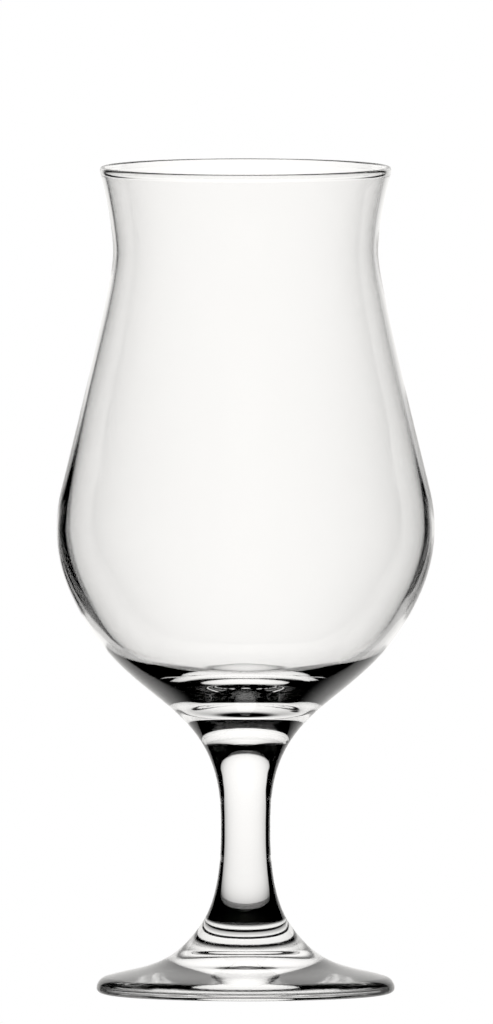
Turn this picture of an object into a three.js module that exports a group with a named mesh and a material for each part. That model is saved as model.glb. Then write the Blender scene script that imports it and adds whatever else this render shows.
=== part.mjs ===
// Stemmed tulip beer glass in three pieces: foot, stem and bowl, each turned about the upright axis
import * as THREE from 'three';

// Heights of the pieces, in millimetres
const FOOT_HEIGHT = 15.75;
const STEM_HEIGHT = 45.4;
const BOWL_HEIGHT = 123.85;

// Foot, in millimetres
const FOOT_RADIUS = 33.3;
const FOOT_EDGE_RISE = 1.165;
const FOOT_EDGE_TOP_ROUND = 2.675;
const FOOT_EDGE_LOW_ROUND = 1.674;
const FOOT_RING_WIDTH = 19.03;
const FOOT_HOLLOW_DEPTH = 1.56;

// Stem, in millimetres, with the waist measured up from the foot seam
const HUB_RADIUS = 9.76;
const WAIST_RADIUS = 5.52;
const WAIST_RISE = 19.95;
const COLLAR_RADIUS = 13.79;

// Bowl, in millimetres, with rises measured up from the stem seam
const BELLY_RADIUS = 42.25;
const BELLY_RISE = 43.1;
const BELLY_ROUND = 35.6;
const NECK_RADIUS = 29.63;
const NECK_RISE = 104.9;
const RIM_RADIUS = 32.62;
const BEAD_WIDTH = 1.34;
const BEAD_HEIGHT = 1.8;
const LIP_WALL = 1.15;
const NECK_WALL = 1.15;
const SHOULDER_WALL = 1.8;
const BELLY_WALL = 2.06;
const FLANK_WALL = 2.74;
const FLOOR_EDGE_RADIUS = 10.337;
const FLOOR_EDGE_RISE = 8.342;
const DOME_RISE = 10.16;

// Slopes of the outline where curves meet, as radius gained over height gained
const HUB_SLOPE = -0.663;
const COLLAR_SLOPE = 0.975;
const FLANK_SLOPE = 0.445;
const SHOULDER_SLOPE = -0.247;
const LIP_SLOPE = 0.276;
const FLOOR_EDGE_SLOPE = 2.778;
const FOOT_EDGE_SLOPE = -3.373;
const UPRIGHT = 0;

// How far a curve holds the slope of its start and end, as shares of its own rise
const FOOT_CONE_HOLD = { start: 0.209, end: 0.851 };
const STEM_LOW_HOLD = { start: 0.109, end: 0.618 };
const STEM_HIGH_HOLD = { start: 0.3, end: 0.338 };
const BOWL_FLANK_HOLD = { start: 0.267, end: 0.585 };
const BOWL_SHOULDER_HOLD = { start: 0.333, end: 0.124 };
const BOWL_LIP_HOLD = { start: 0.1, end: 0.497 };
const INNER_FLANK_HOLD = { start: 0.962, end: 0.125 };
const PARABOLA_HOLD = { start: 1 / 3, end: 1 / 3 };

// How far the floor's dome and the foot's hollow hold their ends, as shares of their own radius
const DOME_HOLD = { start: 0.276, end: 0.622 };
const HOLLOW_HOLD = { start: 0.44, end: 0.18 };

// Fineness of the turned surfaces
const TURN_STEPS = 40;
const CURVE_STEPS = 7;

// Levels up the axis, from the table to the rim
const STEM_SEAM_LEVEL = FOOT_HEIGHT;
const BOWL_SEAM_LEVEL = FOOT_HEIGHT + STEM_HEIGHT;
const RIM_LEVEL = BOWL_SEAM_LEVEL + BOWL_HEIGHT;
const WAIST_LEVEL = STEM_SEAM_LEVEL + WAIST_RISE;
const BELLY_LEVEL = BOWL_SEAM_LEVEL + BELLY_RISE;
const NECK_LEVEL = BOWL_SEAM_LEVEL + NECK_RISE;
const FLOOR_EDGE_LEVEL = BOWL_SEAM_LEVEL + FLOOR_EDGE_RISE;
const DOME_LEVEL = BOWL_SEAM_LEVEL + DOME_RISE;

// Carries an outline on to a new point, leaving and arriving at given slopes
function curveTo(outline, end, startSlope, endSlope, hold) {
  const start = outline.currentPoint;
  const rise = end.y - start.y;
  const startReach = rise * hold.start;
  const endReach = rise * hold.end;
  outline.bezierCurveTo(
    start.x + startSlope * startReach,
    start.y + startReach,
    end.x - endSlope * endReach,
    end.y - endReach,
    end.x,
    end.y,
  );
}

// The same hold with its ends swapped, for a curve drawn from the top down
function reversed(hold) {
  return { start: hold.end, end: hold.start };
}

// Slope at the end of a parabola that starts upright, which is twice its mean slope
function slopeOffUpright(start, end) {
  return (2 * (end.x - start.x)) / (end.y - start.y);
}

// Turns an outline of radius against height about the upright axis
function turnedPiece(name, outline, material) {
  const geometry = new THREE.LatheGeometry(outline.getPoints(CURVE_STEPS), TURN_STEPS);
  geometry.rotateX(Math.PI / 2);
  const piece = new THREE.Mesh(geometry, material);
  piece.name = name;
  return piece;
}

// Foot: hollow underside, flat resting ring, rounded edge, cone rising to the stem seam
function footOutline() {
  const ringOuter = FOOT_RADIUS - FOOT_EDGE_LOW_ROUND;
  const ringInner = ringOuter - FOOT_RING_WIDTH;
  const edgeTopCentre = FOOT_RADIUS - FOOT_EDGE_TOP_ROUND;
  const edgeTurn = Math.atan(-FOOT_EDGE_SLOPE);
  const outline = new THREE.Path();
  outline.moveTo(0, FOOT_HOLLOW_DEPTH);
  outline.bezierCurveTo(
    ringInner * HOLLOW_HOLD.start,
    FOOT_HOLLOW_DEPTH,
    ringInner * (1 - HOLLOW_HOLD.end),
    0,
    ringInner,
    0,
  );
  outline.lineTo(ringOuter, 0);
  outline.absellipse(
    ringOuter,
    FOOT_EDGE_RISE,
    FOOT_EDGE_LOW_ROUND,
    FOOT_EDGE_RISE,
    -Math.PI / 2,
    0,
    false,
  );
  outline.absarc(edgeTopCentre, FOOT_EDGE_RISE, FOOT_EDGE_TOP_ROUND, 0, edgeTurn, false);
  const hub = new THREE.Vector2(HUB_RADIUS, STEM_SEAM_LEVEL);
  curveTo(outline, hub, FOOT_EDGE_SLOPE, HUB_SLOPE, FOOT_CONE_HOLD);
  outline.lineTo(0, STEM_SEAM_LEVEL);
  return outline;
}

// Stem: solid, narrow at the waist, spreading to the foot below and the bowl above
function stemOutline() {
  const waist = new THREE.Vector2(WAIST_RADIUS, WAIST_LEVEL);
  const collar = new THREE.Vector2(COLLAR_RADIUS, BOWL_SEAM_LEVEL);
  const outline = new THREE.Path();
  outline.moveTo(0, STEM_SEAM_LEVEL);
  outline.lineTo(HUB_RADIUS, STEM_SEAM_LEVEL);
  curveTo(outline, waist, HUB_SLOPE, UPRIGHT, STEM_LOW_HOLD);
  curveTo(outline, collar, UPRIGHT, COLLAR_SLOPE, STEM_HIGH_HOLD);
  outline.lineTo(0, BOWL_SEAM_LEVEL);
  return outline;
}

// Bowl: thick solid base, full belly, drawn-in neck, flared lip with a bead on the rim, hollow inside
// down to a floor with a low dome on the axis
function bowlOutline() {
  const beadCentre = RIM_RADIUS - BEAD_WIDTH / 2;
  const beadLevel = RIM_LEVEL - BEAD_HEIGHT / 2;
  const beadTurn = Math.acos(LIP_WALL / BEAD_WIDTH);
  const lip = new THREE.Vector2(
    beadCentre + LIP_WALL / 2,
    beadLevel - (BEAD_HEIGHT / 2) * Math.sin(beadTurn),
  );
  const flankTurn = Math.atan(FLANK_SLOPE);
  const shoulderTurn = Math.atan(-SHOULDER_SLOPE);
  const bellyCentre = BELLY_RADIUS - BELLY_ROUND;
  const onBelly = (turn, wall) =>
    new THREE.Vector2(
      bellyCentre + BELLY_ROUND * Math.cos(turn) - wall,
      BELLY_LEVEL + BELLY_ROUND * Math.sin(turn),
    );
  const neck = new THREE.Vector2(NECK_RADIUS, NECK_LEVEL);
  const innerNeck = new THREE.Vector2(NECK_RADIUS - NECK_WALL, NECK_LEVEL);
  const innerShoulder = onBelly(shoulderTurn, SHOULDER_WALL);
  const innerBelly = onBelly(0, BELLY_WALL);
  const innerFlank = onBelly(-flankTurn, FLANK_WALL);
  const innerShoulderSlope = slopeOffUpright(innerBelly, innerShoulder);
  const innerFlankSlope = slopeOffUpright(innerBelly, innerFlank);
  const floorEdge = new THREE.Vector2(FLOOR_EDGE_RADIUS, FLOOR_EDGE_LEVEL);
  const floorWay = new THREE.Vector2(FLOOR_EDGE_SLOPE, 1).setLength(FLOOR_EDGE_RADIUS * DOME_HOLD.start);
  const outline = new THREE.Path();
  outline.moveTo(0, BOWL_SEAM_LEVEL);
  outline.lineTo(COLLAR_RADIUS, BOWL_SEAM_LEVEL);
  curveTo(outline, onBelly(-flankTurn, 0), COLLAR_SLOPE, FLANK_SLOPE, BOWL_FLANK_HOLD);
  outline.absarc(bellyCentre, BELLY_LEVEL, BELLY_ROUND, -flankTurn, shoulderTurn, false);
  curveTo(outline, neck, SHOULDER_SLOPE, UPRIGHT, BOWL_SHOULDER_HOLD);
  curveTo(outline, lip, UPRIGHT, LIP_SLOPE, BOWL_LIP_HOLD);
  outline.absellipse(
    beadCentre,
    beadLevel,
    BEAD_WIDTH / 2,
    BEAD_HEIGHT / 2,
    -beadTurn,
    Math.PI + beadTurn,
    false,
  );
  curveTo(outline, innerNeck, LIP_SLOPE, UPRIGHT, reversed(BOWL_LIP_HOLD));
  curveTo(outline, innerShoulder, UPRIGHT, innerShoulderSlope, reversed(BOWL_SHOULDER_HOLD));
  curveTo(outline, innerBelly, innerShoulderSlope, UPRIGHT, PARABOLA_HOLD);
  curveTo(outline, innerFlank, UPRIGHT, innerFlankSlope, PARABOLA_HOLD);
  curveTo(outline, floorEdge, innerFlankSlope, FLOOR_EDGE_SLOPE, INNER_FLANK_HOLD);
  outline.bezierCurveTo(
    floorEdge.x - floorWay.x,
    floorEdge.y - floorWay.y,
    FLOOR_EDGE_RADIUS * DOME_HOLD.end,
    DOME_LEVEL,
    0,
    DOME_LEVEL,
  );
  return outline;
}

// Clear colourless glass, one material for each piece
function clearGlass() {
  return new THREE.MeshStandardMaterial({
    color: 0xf2f6f5,
    roughness: 0.03,
    metalness: 0,
    transparent: true,
    opacity: 0.35,
  });
}

const part = new THREE.Group();
part.name = 'tulip_glass';
part.add(turnedPiece('foot', footOutline(), clearGlass()));
part.add(turnedPiece('stem', stemOutline(), clearGlass()));
part.add(turnedPiece('bowl', bowlOutline(), clearGlass()));

export default part;
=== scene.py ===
"""Stemmed tulip beer glass: fine turned glass, its finish, a bright-field set and a camera."""
import logging
import math
from dataclasses import dataclass, field
from enum import Enum
from typing import ClassVar

import bpy
import numpy as np
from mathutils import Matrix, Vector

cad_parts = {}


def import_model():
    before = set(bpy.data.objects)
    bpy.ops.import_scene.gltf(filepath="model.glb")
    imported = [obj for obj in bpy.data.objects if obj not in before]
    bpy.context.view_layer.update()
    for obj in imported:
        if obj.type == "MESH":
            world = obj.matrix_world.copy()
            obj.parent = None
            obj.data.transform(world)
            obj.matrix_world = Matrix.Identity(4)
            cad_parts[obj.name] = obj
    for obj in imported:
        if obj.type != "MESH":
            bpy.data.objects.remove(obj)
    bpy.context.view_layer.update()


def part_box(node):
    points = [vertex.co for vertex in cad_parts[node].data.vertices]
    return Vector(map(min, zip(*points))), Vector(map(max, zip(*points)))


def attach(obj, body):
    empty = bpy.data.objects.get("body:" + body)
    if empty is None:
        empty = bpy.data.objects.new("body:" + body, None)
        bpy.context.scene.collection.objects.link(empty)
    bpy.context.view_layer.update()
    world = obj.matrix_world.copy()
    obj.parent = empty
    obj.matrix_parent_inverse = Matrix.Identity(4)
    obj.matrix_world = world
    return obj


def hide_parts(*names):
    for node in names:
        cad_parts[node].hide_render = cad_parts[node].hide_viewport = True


LOG = logging.getLogger("tulip_glass")
BODY = "root"

METRE = 1.0
MM = 0.001 * METRE

# Radius of the seam between foot and stem, and radius gained over height gained at the two seams
HUB_RADIUS = 9.76 * MM
HUB_SLOPE = -0.663
COLLAR_SLOPE = 0.975

# Below this length a direction counts as nothing
NO_LENGTH = 1e-15

# Fewest steps that a stretch of an outline is drawn in
FEWEST_STEPS = 2


class Closing(Enum):
    """How an end of a turned skin is closed."""

    POLE = "smooth, at a point on the axis"
    SEAM = "flat, where the piece is fused to its neighbour"


class Side(Enum):
    """Which side of the wall a stretch of the outline is on."""

    OUTER = 0.0
    INNER = 1.0


@dataclass(frozen=True)
class Hold:
    """How far a curve keeps the slopes of its ends, as shares of its rise.

    Attributes:
        start: share of the rise for the slope that it leaves with.
        end: share of the rise for the slope that it arrives with.
    """

    start: float
    end: float

    def turned_over(self) -> "Hold":
        """The same hold for a curve drawn the other way."""
        return Hold(self.end, self.start)


PARABOLA = Hold(1 / 3, 1 / 3)


@dataclass(frozen=True)
class Levels:
    """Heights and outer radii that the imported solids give, in metres.

    Attributes:
        table: height of the surface that the glass stands on.
        stem_seam: height of the seam between foot and stem.
        bowl_seam: height of the seam between stem and bowl.
        rim: height of the top of the rim.
        foot_radius: radius of the foot.
        collar_radius: radius of the seam between stem and bowl.
        belly_radius: largest radius of the bowl.
    """

    table: float
    stem_seam: float
    bowl_seam: float
    rim: float
    foot_radius: float
    collar_radius: float
    belly_radius: float

    @classmethod
    def from_frame(cls) -> "Levels":
        """Reads the levels and radii from the boxes of the three nodes.

        Returns:
            The levels and radii.
        """
        foot_low, foot_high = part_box("foot")
        stem_low, stem_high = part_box("stem")
        bowl_low, bowl_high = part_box("bowl")
        return cls(
            table=foot_low.z,
            stem_seam=stem_low.z,
            bowl_seam=bowl_low.z,
            rim=bowl_high.z,
            foot_radius=foot_high.x,
            collar_radius=stem_high.x,
            belly_radius=bowl_high.x,
        )


@dataclass
class Outline:
    """A profile of radius against height, drawn in stretches that meet smoothly.

    Attributes:
        start: first point, as radius and height in metres.
        spacing: largest distance between neighbouring points.
        side: side of the wall that the next stretches are on.
        runs: points of the stretches drawn so far.
        sides: for each stretch, 0 on the outer and 1 on the inner side, point by point.
    """

    start: tuple[float, float]
    spacing: float
    side: Side = Side.OUTER
    runs: list[np.ndarray] = field(default_factory=list)
    sides: list[np.ndarray] = field(default_factory=list)

    @property
    def tip(self) -> np.ndarray:
        """The point that the profile has reached."""
        return self.runs[-1][-1] if self.runs else np.array(self.start)

    def _shares(self, length: float) -> np.ndarray:
        """Even shares along a stretch of about the given length, without its first point."""
        count = max(FEWEST_STEPS, math.ceil(length / self.spacing))
        return np.linspace(0.0, 1.0, count + 1)[1:]

    def _add(self, points: np.ndarray) -> None:
        """Keeps the points of a stretch and the side that they are on."""
        self.runs.append(points)
        self.sides.append(np.full(len(points), self.side.value))

    def line_to(self, radius: float, height: float) -> None:
        """Adds a straight stretch.

        Args:
            radius: radius of its last point.
            height: height of its last point.
        """
        end = np.array((radius, height))
        shares = self._shares(float(np.linalg.norm(end - self.tip)))[:, None]
        self._add(self.tip + shares * (end - self.tip))

    def handles_to(self, first: np.ndarray, second: np.ndarray, end: np.ndarray) -> None:
        """Adds a cubic curve with two handles.

        A point of it is the sum of the start, the two handles and the end, weighted by
        (1-t)^3, 3t(1-t)^2, 3t^2(1-t) and t^3 as t goes from 0 to 1.

        Args:
            first: handle that the curve leaves towards.
            second: handle that the curve arrives from.
            end: last point.
        """
        points = np.array((self.tip, first, second, end))
        t = self._shares(float(np.linalg.norm(np.diff(points, axis=0), axis=1).sum()))
        weights = ((1 - t) ** 3, 3 * t * (1 - t) ** 2, 3 * t**2 * (1 - t), t**3)
        self._add(np.stack(weights, axis=1) @ points)

    def curve_to(self, end: np.ndarray, leave: float, arrive: float, hold: Hold) -> None:
        """Adds a cubic curve that leaves and arrives at given slopes.

        Args:
            end: last point.
            leave: radius gained over height gained at the start.
            arrive: radius gained over height gained at the end.
            hold: how far each slope is kept.
        """
        rise = end[1] - self.tip[1]
        first = self.tip + rise * hold.start * np.array((leave, 1.0))
        second = end - rise * hold.end * np.array((arrive, 1.0))
        self.handles_to(first, second, end)

    def arc(self, centre: np.ndarray, radii: np.ndarray, begin: float, finish: float) -> None:
        """Adds an elliptic arc: the centre plus the radii times cosine and sine of the turn.

        Args:
            centre: centre of the ellipse.
            radii: half axes along radius and height.
            begin: turn at the start, in radians from the outward direction.
            finish: turn at the end.
        """
        length = abs(finish - begin) * float(radii.max())
        turn = begin + self._shares(length) * (finish - begin)
        self._add(centre + radii * np.stack((np.cos(turn), np.sin(turn)), axis=1))

    def points(self) -> np.ndarray:
        """All points from the start to the tip, as an array of radius and height."""
        return np.concatenate((np.array((self.start,)), *self.runs))

    def inner_share(self) -> np.ndarray:
        """For each point, 0 on the outer side of the wall and 1 on the inner side."""
        return np.concatenate((self.sides[0][:1], *self.sides))


@dataclass(frozen=True)
class BlownWave:
    """The slight unevenness that blowing leaves on the inner side of a wall.

    The inner surface moves in and out by a few long waves round the axis and along it.

    Attributes:
        height: largest move in and out.
        counts: number of waves round the axis, for each wave.
        lengths: length of each wave along the axis.
        phases: where each wave starts, in turns.
        fade: distance over which the waves grow from nothing below the rim and round the axis.
    """

    height: float = 0.03 * MM
    counts: tuple[int, ...] = (2, 3, 5, 7)
    lengths: tuple[float, ...] = (90 * MM, 61 * MM, 43 * MM, 37 * MM)
    phases: tuple[float, ...] = (0.13, 0.58, 0.31, 0.84)
    fade: float = 8 * MM

    def move(self, skin: np.ndarray, share: np.ndarray, top: float) -> np.ndarray:
        """Moves the inner side of a turned skin.

        Args:
            skin: points, by ring and turn.
            share: for each ring, how much of the move it takes.
            top: height of the rim.

        Returns:
            The moved points.
        """
        radius = np.linalg.norm(skin[:, :, :2], axis=2)
        turn = np.arctan2(skin[:, :, 1], skin[:, :, 0])
        level = skin[:, :, 2]
        wave = np.zeros_like(radius)
        for count, length, phase in zip(self.counts, self.lengths, self.phases):
            wave += np.cos(count * turn + 2 * math.pi * (level / length + phase))
        wave *= self.height / len(self.counts)
        below_rim = np.clip((top - level) / self.fade, 0.0, 1.0)
        off_axis = np.clip(radius / self.fade, 0.0, 1.0)
        strength = share[:, None] * (below_rim * off_axis) ** 2
        outward = np.stack((np.cos(turn), np.sin(turn), np.zeros_like(turn)), axis=2)
        return skin + (strength * wave)[:, :, None] * outward


@dataclass(frozen=True)
class Shaders:
    """Adds and links the nodes of one material.

    Attributes:
        material: material that the nodes belong to.
    """

    material: bpy.types.Material

    @classmethod
    def empty(cls, name: str) -> "Shaders":
        """Starts a new material without any nodes.

        Args:
            name: name of the material.

        Returns:
            The means to add its nodes.
        """
        material = bpy.data.materials.new(name)
        material.use_nodes = True
        material.node_tree.nodes.clear()
        return cls(material)

    def add(self, kind: str, **sockets: object) -> bpy.types.Node:
        """Adds a node and sets or links its sockets.

        Args:
            kind: type name of the node.
            sockets: a value, or an output to link, for each input, named with _ for a space.

        Returns:
            The node.
        """
        node = self.material.node_tree.nodes.new(kind)
        for name, value in sockets.items():
            self.feed(node, name.replace("_", " "), value)
        return node

    def feed(self, node: bpy.types.Node, name: str | int, value: object) -> None:
        """Sets an input of a node, or links it where the value is an output.

        Args:
            node: node that the input belongs to.
            name: name or number of the input.
            value: value to set, or output to link.
        """
        if isinstance(value, bpy.types.NodeSocket):
            self.material.node_tree.links.new(value, node.inputs[name])
        else:
            node.inputs[name].default_value = value

    def math(self, operation: str, first: object, second: object) -> bpy.types.NodeSocket:
        """Adds a sum, product or the like of two values.

        Args:
            operation: what is done with the values.
            first: first value, or the output that gives it.
            second: second value, or the output that gives it.

        Returns:
            The output that gives the result.
        """
        node = self.add("ShaderNodeMath")
        node.operation = operation
        self.feed(node, 0, first)
        self.feed(node, 1, second)
        return node.outputs[0]

    def smooth_step(
        self, value: bpy.types.NodeSocket, start: float, end: float, low: float = 0.0
    ) -> bpy.types.NodeSocket:
        """A share that goes smoothly up to 1 while a value goes from one level to another.

        Args:
            value: output that gives the value.
            start: value where the share starts to rise.
            end: value where the share is 1.
            low: share at the start.

        Returns:
            The output that gives the share.
        """
        node = self.add("ShaderNodeMapRange", Value=value, From_Min=start, From_Max=end, To_Min=low)
        node.interpolation_type = "SMOOTHSTEP"
        return node.outputs["Result"]

    def place(self) -> bpy.types.NodeSocket:
        """Object coordinates."""
        return self.add("ShaderNodeTexCoord").outputs["Object"]

    def height(self) -> bpy.types.NodeSocket:
        """Height above the table, in object coordinates."""
        return self.add("ShaderNodeSeparateXYZ", Vector=self.place()).outputs["Z"]

    def noise(self, scale: tuple[float, float, float], detail: float) -> bpy.types.NodeSocket:
        """A noise over object coordinates.

        Args:
            scale: waves in a metre along each axis.
            detail: number of finer layers.

        Returns:
            The output that gives the noise, from 0 to 1.
        """
        spread = self.add("ShaderNodeMapping", Vector=self.place(), Scale=scale)
        return self.add("ShaderNodeTexNoise", Vector=spread.outputs[0], Detail=detail).outputs[0]

    def finish(self, shader: bpy.types.Node) -> bpy.types.Material:
        """Links a shader to the material's output and returns the material."""
        self.add("ShaderNodeOutputMaterial", Surface=shader.outputs[0])
        return self.material


@dataclass(frozen=True)
class ClearGlass:
    """Clear, colourless, fire-polished glass with faint cords and a trace of handling.

    Attributes:
        bending: refractive index.
        tint: colour that the glass leaves in light that passes it.
        clearness: share of the light inside the glass that passes it.
        cord_scale: cords in a metre along each axis.
        cord_detail: finer layers of the cords.
        cord_height: height of the cords.
        haze_scale: patches of haze in a metre.
        haze_detail: finer layers of the haze.
        haze_start: noise level where haze begins.
        haze_roughness: roughness where the haze is thickest.
    """

    bending: float = 1.52
    tint: tuple[float, float, float, float] = (1.0, 0.9995, 0.998, 1.0)
    clearness: float = 1.0
    cord_scale: tuple[float, float, float] = (240.0, 240.0, 22.0)
    cord_detail: float = 1.0
    cord_height: float = 0.0012 * MM
    haze_scale: tuple[float, float, float] = (70.0, 70.0, 45.0)
    haze_detail: float = 4.0
    haze_start: float = 0.62
    haze_roughness: float = 0.03

    def relief(self, shaders: Shaders) -> bpy.types.NodeSocket:
        """Height of the upright cords, which are a noise stretched along the axis."""
        cords = shaders.noise(self.cord_scale, self.cord_detail)
        return shaders.math("MULTIPLY", cords, self.cord_height)

    def roughness(self, shaders: Shaders) -> bpy.types.NodeSocket:
        """Roughness of the haze, which is a noise that only shows above a level.

        Args:
            shaders: nodes of the material.

        Returns:
            The output that gives the roughness.
        """
        haze = shaders.add(
            "ShaderNodeMapRange",
            Value=shaders.noise(self.haze_scale, self.haze_detail),
            From_Min=self.haze_start,
            To_Max=self.haze_roughness,
        )
        return haze.outputs[0]

    def material(self, name: str) -> bpy.types.Material:
        """Makes the material.

        Args:
            name: name of the material.

        Returns:
            The material.
        """
        shaders = Shaders.empty(name)
        bump = shaders.add("ShaderNodeBump", Height=self.relief(shaders), Distance=METRE)
        glass = shaders.add(
            "ShaderNodeBsdfPrincipled",
            Roughness=self.roughness(shaders),
            Normal=bump.outputs[0],
            IOR=self.bending,
            Transmission_Weight=self.clearness,
            Base_Color=self.tint,
        )
        return shaders.finish(glass)


@dataclass(frozen=True)
class PressedGlass(ClearGlass):
    """Clear glass with a ripple on its underside, from the mould that it was pressed in.

    Attributes:
        ripple_scale: ripples in a metre along each axis.
        ripple_detail: finer layers of the ripple.
        ripple_height: height of the ripple.
        ripple_top: height above the table where the ripple has faded out.
        ripple_full: height where the ripple is whole.
    """

    ripple_scale: tuple[float, float, float] = (420.0, 420.0, 420.0)
    ripple_detail: float = 2.0
    ripple_height: float = 0.012 * MM
    ripple_top: float = 0.15 * MM
    ripple_full: float = 0.05 * MM

    def relief(self, shaders: Shaders) -> bpy.types.NodeSocket:
        """Height of the cords and, near the table, of the ripple.

        Args:
            shaders: nodes of the material.

        Returns:
            The output that gives the height.
        """
        low = shaders.smooth_step(shaders.height(), self.ripple_top, self.ripple_full)
        ripple = shaders.math("MULTIPLY", shaders.noise(self.ripple_scale, self.ripple_detail), low)
        height = shaders.math("MULTIPLY", ripple, self.ripple_height)
        return shaders.math("ADD", height, super().relief(shaders))


@dataclass(frozen=True)
class RimmedGlass(ClearGlass):
    """Clear glass with a rim that grinding and use have left slightly matt along the top.

    Attributes:
        rim: height of the top of the rim.
        worn_depth: depth below the top where the matt strip begins.
        worn_full: depth where the strip is fully matt.
        worn_roughness: roughness of the strip.
    """

    rim: float = field(kw_only=True)
    worn_depth: float = 0.3 * MM
    worn_full: float = 0.15 * MM
    worn_roughness: float = 0.2

    def roughness(self, shaders: Shaders) -> bpy.types.NodeSocket:
        """Roughness of the haze or, along the top of the rim, of the matt strip.

        Args:
            shaders: nodes of the material.

        Returns:
            The output that gives the roughness.
        """
        begin = self.rim - self.worn_depth
        worn = shaders.smooth_step(shaders.height(), begin, self.rim - self.worn_full)
        strip = shaders.math("MULTIPLY", worn, self.worn_roughness)
        return shaders.math("MAXIMUM", strip, super().roughness(shaders))


@dataclass(frozen=True)
class FusedSeam:
    """The place where two pieces are melted together, which light passes straight through.

    Attributes:
        passes: share of each colour that passes.
    """

    passes: tuple[float, float, float, float] = (1.0, 1.0, 1.0, 1.0)

    def material(self, name: str) -> bpy.types.Material:
        """Makes the material."""
        shaders = Shaders.empty(name)
        return shaders.finish(shaders.add("ShaderNodeBsdfTransparent", Color=self.passes))


@dataclass
class TurnedGlass:
    """A glass piece turned about the upright axis.

    Attributes:
        levels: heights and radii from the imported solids.
        spacing: largest distance between rings.
        turns: points round the axis.
        node: name of the solid that the piece stands for.
        closings: how the skin is closed where the profile starts and where it ends.
    """

    levels: Levels
    spacing: float = 0.3 * MM
    turns: int = 176
    node: ClassVar[str]
    closings: ClassVar[tuple[Closing, Closing]]

    def outline(self) -> Outline:
        """Draws the profile, which each piece does in its own way."""
        raise NotImplementedError

    def skin(self) -> tuple[np.ndarray, np.ndarray]:
        """Turns the profile: radius times cosine and sine of the turn, at the profile's height.

        Returns:
            The points by ring and turn, and the distance along the profile for each ring.
        """
        profile = self.outline().points()
        turn = np.arange(self.turns) * 2 * math.pi / self.turns
        radius = profile[:, :1]
        height = np.broadcast_to(profile[:, 1:], (len(profile), self.turns))
        skin = np.stack((radius * np.cos(turn), radius * np.sin(turn), height), axis=2)
        steps = np.linalg.norm(np.diff(profile, axis=0), axis=1)
        return skin, np.concatenate(((0.0,), np.cumsum(steps)))

    @staticmethod
    def normals(skin: np.ndarray, along: np.ndarray) -> np.ndarray:
        """Outward directions: the step round the axis crossed with the step along the profile.

        Args:
            skin: points, by ring and turn.
            along: distance along the profile, by ring.

        Returns:
            Unit directions, by ring and turn, and nothing on the axis.
        """
        rise = np.gradient(skin, along, axis=0, edge_order=2)
        round_step = np.roll(skin, -1, axis=1) - np.roll(skin, 1, axis=1)
        across = np.cross(round_step, rise)
        length = np.linalg.norm(across, axis=2, keepdims=True)
        return across / np.maximum(length, NO_LENGTH)

    def faces(self, rings: int) -> tuple[np.ndarray, np.ndarray]:
        """Corner numbers of the quads between rings and of the two closing fans.

        Args:
            rings: number of full rings. The two middle points come after them.

        Returns:
            The quads and the triangles, the first fan before the last.
        """
        turn = np.arange(self.turns)
        after = (turn + 1) % self.turns
        first = np.arange(rings - 1)[:, None] * self.turns
        second = first + self.turns
        quads = np.stack((first + turn, first + after, second + after, second + turn), axis=2)
        middle = np.full(self.turns, rings * self.turns)
        top = (rings - 1) * self.turns
        low_fan = np.stack((middle, after, turn), axis=1)
        high_fan = np.stack((middle + 1, top + turn, top + after), axis=1)
        return quads.reshape(-1, 4), np.concatenate((low_fan, high_fan))

    @staticmethod
    def corner_directions(
        outward: np.ndarray, quads: np.ndarray, fans: np.ndarray, fused: np.ndarray
    ) -> np.ndarray:
        """Directions for the corners of all faces: smooth on the skin, upright on the seams.

        Args:
            outward: unit directions of the full rings, by ring and turn.
            quads: corner numbers of the quads.
            fans: corner numbers of the closing triangles, the first fan before the last.
            fused: for each closing triangle, whether it is on a fused seam.

        Returns:
            One direction for each corner, face by face.
        """
        upright = np.array((0.0, 0.0, 1.0))
        directions = np.concatenate((outward.reshape(-1, 3), (-upright, upright)))
        facing = np.repeat((-upright, upright), len(fans) // 2, axis=0)
        on_fans = np.where(fused[:, None, None], facing[:, None, :], directions[fans])
        return np.concatenate((directions[quads.ravel()], on_fans.reshape(-1, 3)))

    def mesh(self) -> bpy.types.Mesh:
        """Makes the closed mesh, with its own directions on the smooth skin and flat seams.

        Returns:
            The mesh, whose first material is for the skin and whose second is for the seams.
        """
        skin, along = self.skin()
        poles = [int(closing is Closing.POLE) for closing in self.closings]
        full = slice(poles[0], len(skin) - poles[1])
        ends = skin[(0, -1), :].mean(axis=1)
        points = np.concatenate((skin[full].reshape(-1, 3), ends))
        quads, fans = self.faces(len(skin[full]))
        mesh = bpy.data.meshes.new(self.node)
        mesh.from_pydata(points.tolist(), [], quads.tolist() + fans.tolist())
        mesh.update()
        fused = np.repeat([closing is Closing.SEAM for closing in self.closings], self.turns)
        flat = np.concatenate((np.zeros(len(quads), bool), fused))
        mesh.polygons.foreach_set("use_smooth", ~flat)
        mesh.polygons.foreach_set("material_index", flat.astype(np.int32))
        outward = self.normals(skin, along)[full]
        mesh.normals_split_custom_set(self.corner_directions(outward, quads, fans, fused))
        return mesh

    def build(self, glass: ClearGlass, seam: FusedSeam) -> bpy.types.Object:
        """Makes the piece, dresses it and lets it stand for its node.

        Args:
            glass: finish of the skin.
            seam: finish of the fused faces.

        Returns:
            The piece.
        """
        mesh = self.mesh()
        mesh.materials.append(glass.material(f"{self.node}_clear_glass"))
        mesh.materials.append(seam.material(f"{self.node}_fused_seam"))
        piece = bpy.data.objects.new(f"{self.node}_glass", mesh)
        bpy.context.scene.collection.objects.link(piece)
        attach(piece, BODY)
        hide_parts(self.node)
        LOG.info("%s: %d faces", piece.name, len(mesh.polygons))
        return piece


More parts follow.
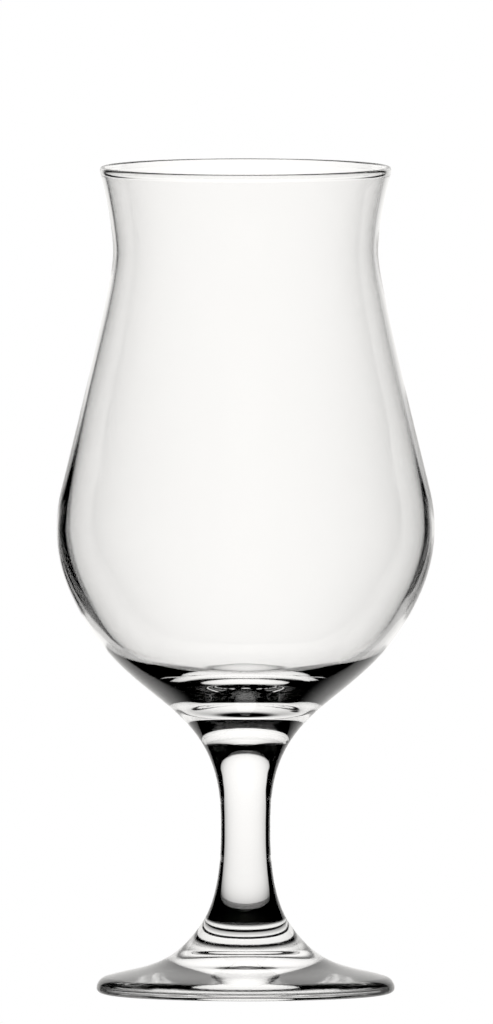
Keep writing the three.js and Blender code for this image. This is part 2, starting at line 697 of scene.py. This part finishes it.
@dataclass
class Foot(TurnedGlass):
    """The pressed foot: hollow underside, flat resting ring, rounded edge and a cone.

    Attributes:
        edge_rise: height of the widest place of the rounded edge.
        edge_top_round: radius of the round above that place.
        edge_low_round: width of the round below it.
        ring_width: width of the flat ring that rests on the table.
        hollow_depth: depth of the hollow at the axis.
        hub_radius: radius of the seam with the stem.
        edge_slope: radius gained over height gained where the cone leaves the edge.
        hub_slope: the same where the cone meets the stem.
        cone_hold: how far the cone keeps these slopes.
        hollow_hold: how far the hollow stays level at the axis and at the ring.
    """

    edge_rise: float = 1.165 * MM
    edge_top_round: float = 2.675 * MM
    edge_low_round: float = 1.674 * MM
    ring_width: float = 19.03 * MM
    hollow_depth: float = 1.56 * MM
    hub_radius: float = HUB_RADIUS
    edge_slope: float = -3.373
    hub_slope: float = HUB_SLOPE
    cone_hold: Hold = Hold(0.209, 0.851)
    hollow_hold: Hold = Hold(0.44, 0.18)
    node: ClassVar[str] = "foot"
    closings: ClassVar[tuple[Closing, Closing]] = (Closing.POLE, Closing.SEAM)

    def outline(self) -> Outline:
        """Draws the foot from the middle of its underside round the edge to the stem.

        Returns:
            The profile.
        """
        table = self.levels.table
        widest = self.levels.foot_radius
        ring_outer = widest - self.edge_low_round
        ring_inner = ring_outer - self.ring_width
        top = table + self.hollow_depth
        outline = Outline((0.0, top), self.spacing)
        outline.handles_to(
            np.array((ring_inner * self.hollow_hold.start, top)),
            np.array((ring_inner * (1 - self.hollow_hold.end), table)),
            np.array((ring_inner, table)),
        )
        outline.line_to(ring_outer, table)
        low_radii = np.array((self.edge_low_round, self.edge_rise))
        outline.arc(np.array((ring_outer, table + self.edge_rise)), low_radii, -math.pi / 2, 0.0)
        top_centre = np.array((widest - self.edge_top_round, table + self.edge_rise))
        outline.arc(top_centre, np.full(2, self.edge_top_round), 0.0, math.atan(-self.edge_slope))
        hub = np.array((self.hub_radius, self.levels.stem_seam))
        outline.curve_to(hub, self.edge_slope, self.hub_slope, self.cone_hold)
        return outline


@dataclass
class Stem(TurnedGlass):
    """The solid stem, narrow at the waist and spreading to the foot and the bowl.

    Attributes:
        hub_radius: radius of the seam with the foot.
        waist_radius: radius at the waist.
        waist_rise: height of the waist above the seam with the foot.
        hub_slope: radius gained over height gained at the seam with the foot.
        collar_slope: the same at the seam with the bowl.
        low_hold: how far the lower curve keeps its slopes.
        high_hold: how far the upper curve keeps its slopes.
    """

    hub_radius: float = HUB_RADIUS
    waist_radius: float = 5.52 * MM
    waist_rise: float = 19.95 * MM
    hub_slope: float = HUB_SLOPE
    collar_slope: float = COLLAR_SLOPE
    low_hold: Hold = Hold(0.109, 0.618)
    high_hold: Hold = Hold(0.3, 0.338)
    node: ClassVar[str] = "stem"
    closings: ClassVar[tuple[Closing, Closing]] = (Closing.SEAM, Closing.SEAM)

    def outline(self) -> Outline:
        """Draws the stem from the foot up to the bowl.

        Returns:
            The profile.
        """
        seam = self.levels.stem_seam
        outline = Outline((self.hub_radius, seam), self.spacing)
        waist = np.array((self.waist_radius, seam + self.waist_rise))
        collar = np.array((self.levels.collar_radius, self.levels.bowl_seam))
        outline.curve_to(waist, self.hub_slope, 0.0, self.low_hold)
        outline.curve_to(collar, 0.0, self.collar_slope, self.high_hold)
        return outline


@dataclass
class Bowl(TurnedGlass):
    """The blown bowl: thick base, full belly, drawn-in neck, flared lip and rounded rim.

    Rises are measured up from the seam with the stem.

    Attributes:
        belly_rise: rise of the widest place.
        belly_round: radius of the belly's round.
        neck_radius: radius of the neck.
        neck_rise: rise of the neck.
        rim_radius: outer radius of the rim.
        bead_width: thickness of the bead on the rim.
        bead_height: height of the bead's whole round.
        lip_wall: thickness of the lip under the bead.
        neck_wall: thickness of the neck.
        shoulder_wall: thickness across, at the top of the belly's round.
        belly_wall: thickness at the widest place.
        flank_wall: thickness across, at the bottom of the belly's round.
        floor_edge: radius where the inner side runs into the floor.
        floor_edge_rise: rise of that place.
        floor_rise: rise of the floor's low dome on the axis.
        collar_slope: radius gained over height gained at the seam with the stem.
        flank_slope: the same at the bottom of the belly's round.
        shoulder_slope: the same at the top of the belly's round.
        lip_slope: the same under the rim.
        floor_edge_slope: the same where the inner side runs into the floor.
        flank_hold: how far the flank keeps its slopes.
        shoulder_hold: how far the shoulder keeps its slopes.
        lip_hold: how far the lip keeps its slopes.
        inner_flank_hold: how far the inner flank keeps its slopes.
        dome_hold: how far the dome keeps its slopes, as shares of the floor's radius.
        wave: unevenness of the inner side.
        lip_spacing: largest distance between rings on the lip.
        bead_spacing: largest distance between rings on the bead.
    """

    belly_rise: float = 43.1 * MM
    belly_round: float = 35.6 * MM
    neck_radius: float = 29.63 * MM
    neck_rise: float = 104.9 * MM
    rim_radius: float = 32.62 * MM
    bead_width: float = 1.34 * MM
    bead_height: float = 1.8 * MM
    lip_wall: float = 1.15 * MM
    neck_wall: float = 1.15 * MM
    shoulder_wall: float = 1.8 * MM
    belly_wall: float = 2.06 * MM
    flank_wall: float = 2.74 * MM
    floor_edge: float = 10.337 * MM
    floor_edge_rise: float = 8.342 * MM
    floor_rise: float = 10.16 * MM
    collar_slope: float = COLLAR_SLOPE
    flank_slope: float = 0.445
    shoulder_slope: float = -0.247
    lip_slope: float = 0.276
    floor_edge_slope: float = 2.778
    flank_hold: Hold = Hold(0.267, 0.585)
    shoulder_hold: Hold = Hold(0.333, 0.124)
    lip_hold: Hold = Hold(0.1, 0.497)
    inner_flank_hold: Hold = Hold(0.962, 0.125)
    dome_hold: Hold = Hold(0.276, 0.622)
    wave: BlownWave = BlownWave()
    spacing: float = 0.8 * MM
    lip_spacing: float = 0.3 * MM
    bead_spacing: float = 0.08 * MM
    node: ClassVar[str] = "bowl"
    closings: ClassVar[tuple[Closing, Closing]] = (Closing.SEAM, Closing.POLE)

    @property
    def _belly(self) -> np.ndarray:
        """The centre of the belly's round."""
        seam = self.levels.bowl_seam
        return np.array((self.levels.belly_radius - self.belly_round, seam + self.belly_rise))

    @property
    def _neck_level(self) -> float:
        """The height of the neck."""
        return self.levels.bowl_seam + self.neck_rise

    @property
    def _flank_turn(self) -> float:
        """The bottom of the belly's round, in radians from the outward direction."""
        return -math.atan(self.flank_slope)

    @property
    def _shoulder_turn(self) -> float:
        """The top of the belly's round, in radians from the outward direction."""
        return -math.atan(self.shoulder_slope)

    def _on_belly(self, turn: float, wall: float = 0.0) -> np.ndarray:
        """A point of the belly's round, or the point inside it by the thickness of a wall."""
        way = np.array((math.cos(turn), math.sin(turn)))
        return self._belly + self.belly_round * way - (wall, 0.0)

    def _outer(self, outline: Outline) -> None:
        """Draws the outer side from the stem up over the bead on the rim.

        Args:
            outline: profile to draw on.
        """
        flank = self._on_belly(self._flank_turn)
        outline.curve_to(flank, self.collar_slope, self.flank_slope, self.flank_hold)
        belly_radii = np.full(2, self.belly_round)
        outline.arc(self._belly, belly_radii, self._flank_turn, self._shoulder_turn)
        neck = np.array((self.neck_radius, self._neck_level))
        outline.curve_to(neck, self.shoulder_slope, 0.0, self.shoulder_hold)
        radii = np.array((self.bead_width, self.bead_height)) / 2
        bead = np.array((self.rim_radius, self.levels.rim)) - radii
        bead_turn = math.acos(self.lip_wall / self.bead_width)
        lip = bead + radii * np.array((math.cos(bead_turn), -math.sin(bead_turn)))
        outline.spacing = self.lip_spacing
        outline.curve_to(lip, 0.0, self.lip_slope, self.lip_hold)
        outline.spacing = self.bead_spacing
        outline.arc(bead, radii, -bead_turn, math.pi + bead_turn)

    @staticmethod
    def _slope_off_upright(start: np.ndarray, end: np.ndarray) -> float:
        """Slope at the end of a parabola that starts upright, which is twice the mean slope."""
        return 2 * (end[0] - start[0]) / (end[1] - start[1])

    def _inner(self, outline: Outline) -> None:
        """Draws the inner side from the rim down to the floor on the axis.

        Args:
            outline: profile to draw on.
        """
        seam = self.levels.bowl_seam
        outline.side = Side.INNER
        neck = np.array((self.neck_radius - self.neck_wall, self._neck_level))
        shoulder = self._on_belly(self._shoulder_turn, self.shoulder_wall)
        widest = self._on_belly(0.0, self.belly_wall)
        flank = self._on_belly(self._flank_turn, self.flank_wall)
        edge = np.array((self.floor_edge, seam + self.floor_edge_rise))
        shoulder_slope = self._slope_off_upright(widest, shoulder)
        flank_slope = self._slope_off_upright(widest, flank)
        outline.spacing = self.lip_spacing
        outline.curve_to(neck, self.lip_slope, 0.0, self.lip_hold.turned_over())
        outline.spacing = self.spacing
        outline.curve_to(shoulder, 0.0, shoulder_slope, self.shoulder_hold.turned_over())
        outline.curve_to(widest, shoulder_slope, 0.0, PARABOLA)
        outline.curve_to(flank, 0.0, flank_slope, PARABOLA)
        outline.curve_to(edge, flank_slope, self.floor_edge_slope, self.inner_flank_hold)
        reach = self.floor_edge * self.dome_hold.start
        inward = np.array((self.floor_edge_slope, 1.0))
        inward /= np.linalg.norm(inward)
        top = seam + self.floor_rise
        outline.handles_to(
            edge - reach * inward,
            np.array((self.floor_edge * self.dome_hold.end, top)),
            np.array((0.0, top)),
        )

    def outline(self) -> Outline:
        """Draws the bowl up its outer side, over the rim and down its inner side.

        Returns:
            The profile.
        """
        outline = Outline((self.levels.collar_radius, self.levels.bowl_seam), self.spacing)
        self._outer(outline)
        self._inner(outline)
        return outline

    def skin(self) -> tuple[np.ndarray, np.ndarray]:
        """Turns the profile and gives its inner side the unevenness of blown glass.

        Returns:
            The points by ring and turn, and the distance along the profile for each ring.
        """
        skin, along = super().skin()
        share = self.outline().inner_share()
        return self.wave.move(skin, share, self.levels.rim), along


@dataclass(frozen=True)
class ViewPoint:
    """The photograph's view: far away, a little above the middle of the glass.

    Attributes:
        elevation: angle above the horizon, in degrees.
        aim: point in the middle of the picture.
        distance: distance of the camera from that point.
        picture_height: height of the picture at the glass.
    """

    elevation: float = 3.3
    aim: tuple[float, float, float] = (0.2 * MM, 0.0, 107.7 * MM)
    distance: float = 570 * MM
    picture_height: float = 228.8 * MM

    def build(self) -> bpy.types.Object:
        """Makes the camera and gives it to the scene.

        Returns:
            The camera.
        """
        camera = bpy.data.cameras.new("camera")
        camera.type = "ORTHO"
        camera.ortho_scale = self.picture_height
        viewer = bpy.data.objects.new("camera", camera)
        angle = math.radians(self.elevation)
        back = np.array((0.0, -math.cos(angle), math.sin(angle)))
        viewer.location = np.array(self.aim) + self.distance * back
        viewer.rotation_euler = (math.pi / 2 - angle, 0.0, 0.0)
        bpy.context.scene.collection.objects.link(viewer)
        bpy.context.scene.camera = viewer
        return viewer


@dataclass(frozen=True)
class BrightField:
    """A soft white panel close behind the glass, on a white floor, with nothing else lit.

    The panel stays square to the camera, as on a set where the glass is turned for each picture.

    Attributes:
        distance: distance of the panel behind the middle of the foot.
        left: reach of the panel to the left, to the middle of its soft edge.
        right: reach to the right, to the middle of its soft edge.
        softness: half of the width of a soft edge.
        card_reach: how far a dark card stands in over each side edge, beside the lower bowl.
        card_bottom: heights where the cards begin and where they stand in fully.
        card_top: heights where the cards end and where they last stand in fully.
        falloff: share of the light lost where the panel is seen from 45 degrees aside.
        bottom: lower edge of the panel, where its light begins.
        bottom_fade: height over which the light grows from nothing.
        top: upper edge of the panel.
        brightness: light that the panel gives.
        low_share: share of that light at the table.
        full_height: height where the panel reaches its whole light.
        warmth: colour of that light.
        floor_size: half of the width of the floor.
        floor_light: light that the floor gives to the camera.
        floor_gap: distance of the floor below the foot.
        paths: how often light may be bent or mirrored on its way.
    """

    distance: float = 81.7 * MM
    left: float = 74 * MM
    right: float = 86 * MM
    softness: float = 3.2 * MM
    card_reach: float = 14 * MM
    card_bottom: tuple[float, float] = (45 * MM, 70 * MM)
    card_top: tuple[float, float] = (130 * MM, 90 * MM)
    falloff: float = 0.54
    bottom: float = -66 * MM
    bottom_fade: float = 76 * MM
    top: float = 490 * MM
    brightness: float = 1.145
    low_share: float = 0.87
    full_height: float = 85 * MM
    warmth: tuple[float, float, float, float] = (1.0, 0.991, 0.976, 1.0)
    floor_size: float = 20 * METRE
    floor_light: float = 1.0
    floor_gap: float = 0.2 * MM
    paths: int = 24

    @property
    def _left_end(self) -> float:
        """Place across the panel where its left edge has faded out."""
        return -self.left - self.softness

    @property
    def _right_end(self) -> float:
        """Place across the panel where its right edge has faded out."""
        return self.right + self.softness

    @staticmethod
    def _sheet(name: str, corners: np.ndarray, material: bpy.types.Material) -> bpy.types.Object:
        """Makes one flat sheet of the set.

        Args:
            name: name of the sheet.
            corners: its four corners.
            material: its material.

        Returns:
            The sheet.
        """
        mesh = bpy.data.meshes.new(name)
        mesh.from_pydata(corners.tolist(), [], [(0, 1, 2, 3)])
        mesh.materials.append(material)
        sheet = bpy.data.objects.new(name, mesh)
        bpy.context.scene.collection.objects.link(sheet)
        return sheet

    def _glow(self, shaders: Shaders) -> bpy.types.NodeSocket:
        """Strength of the panel's light, place by place.

        It falls with the square of the distance from the panel's middle, and towards the table,
        and ends in two crisp, upright edges and a long fade at the bottom. Dark cards cover
        part of both edges.

        Args:
            shaders: nodes of the panel's material.

        Returns:
            The output that gives the strength.
        """
        parts = shaders.add("ShaderNodeSeparateXYZ", Vector=shaders.place())
        across = parts.outputs["X"]
        height = parts.outputs["Y"]
        above = shaders.smooth_step(height, *self.card_bottom)
        below = shaders.smooth_step(height, *self.card_top)
        covered = shaders.math("MULTIPLY", shaders.math("MULTIPLY", above, below), self.card_reach)
        past_left = shaders.math("SUBTRACT", across, covered)
        past_right = shaders.math("ADD", across, covered)
        from_left = shaders.smooth_step(past_left, self._left_end, self.softness - self.left)
        from_right = shaders.smooth_step(past_right, self._right_end, self.right - self.softness)
        inside = shaders.math("MULTIPLY", from_left, from_right)
        aside = shaders.math("DIVIDE", across, self.distance)
        lost = shaders.math("MULTIPLY", shaders.math("MULTIPLY", aside, aside), self.falloff)
        share = shaders.math("MULTIPLY", inside, shaders.math("SUBTRACT", 1.0, lost))
        dawning = shaders.smooth_step(height, self.bottom, self.bottom + self.bottom_fade)
        rising = shaders.smooth_step(height, 0.0, self.full_height, self.low_share)
        upward = shaders.math("MULTIPLY", dawning, rising)
        return shaders.math("MULTIPLY", shaders.math("MULTIPLY", share, upward), self.brightness)

    def panel(self, viewer: bpy.types.Object) -> bpy.types.Object:
        """Makes the panel.

        Args:
            viewer: camera that the panel faces.

        Returns:
            The panel.
        """
        shaders = Shaders.empty("panel_light")
        glow = self._glow(shaders)
        light = shaders.finish(shaders.add("ShaderNodeEmission", Color=self.warmth, Strength=glow))
        corners = np.array(
            (
                (self._left_end, self.bottom, -self.distance),
                (self._right_end, self.bottom, -self.distance),
                (self._right_end, self.top, -self.distance),
                (self._left_end, self.top, -self.distance),
            )
        )
        panel = self._sheet("panel", corners, light)
        panel.visible_camera = False
        facing = panel.constraints.new("COPY_ROTATION")
        facing.target = viewer
        return panel

    def floor(self) -> bpy.types.Object:
        """Makes the white floor, which only the camera sees.

        Returns:
            The floor.
        """
        shaders = Shaders.empty("floor_white")
        white = shaders.finish(shaders.add("ShaderNodeEmission", Strength=self.floor_light))
        square = np.array(((-1, -1, 0), (1, -1, 0), (1, 1, 0), (-1, 1, 0)))
        corners = square * self.floor_size - (0.0, 0.0, self.floor_gap)
        floor = self._sheet("floor", corners, white)
        floor.visible_diffuse = False
        floor.visible_glossy = False
        floor.visible_transmission = False
        floor.visible_shadow = False
        return floor

    def surroundings(self) -> None:
        """Makes the rest of the room white to the camera and unlit to the glass."""
        world = bpy.data.worlds.new("room")
        world.use_nodes = True
        tree = world.node_tree
        sight = tree.nodes.new("ShaderNodeLightPath")
        tree.links.new(sight.outputs["Is Camera Ray"], tree.nodes["Background"].inputs["Color"])
        bpy.context.scene.world = world

    def build(self, viewer: bpy.types.Object) -> None:
        """Sets up the panel, the floor, the room and the light's paths.

        Args:
            viewer: camera that the panel faces.
        """
        self.panel(viewer)
        self.floor()
        self.surroundings()
        scene = bpy.context.scene
        scene.view_settings.view_transform = "Standard"
        scene.cycles.max_bounces = self.paths
        scene.cycles.transmission_bounces = self.paths
        scene.cycles.glossy_bounces = self.paths
        scene.cycles.transparent_max_bounces = self.paths
        scene.cycles.blur_glossy = 0.0


def main() -> None:
    """Builds the glass, the set and the camera, and notes the sizes."""
    logging.basicConfig(level=logging.INFO, format="%(name)s: %(message)s")
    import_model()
    levels = Levels.from_frame()
    seam = FusedSeam()
    Foot(levels).build(PressedGlass(), seam)
    Stem(levels).build(ClearGlass(), seam)
    Bowl(levels).build(RimmedGlass(rim=levels.rim), seam)
    BrightField().build(ViewPoint().build())


if __name__ == "__main__":
    main()
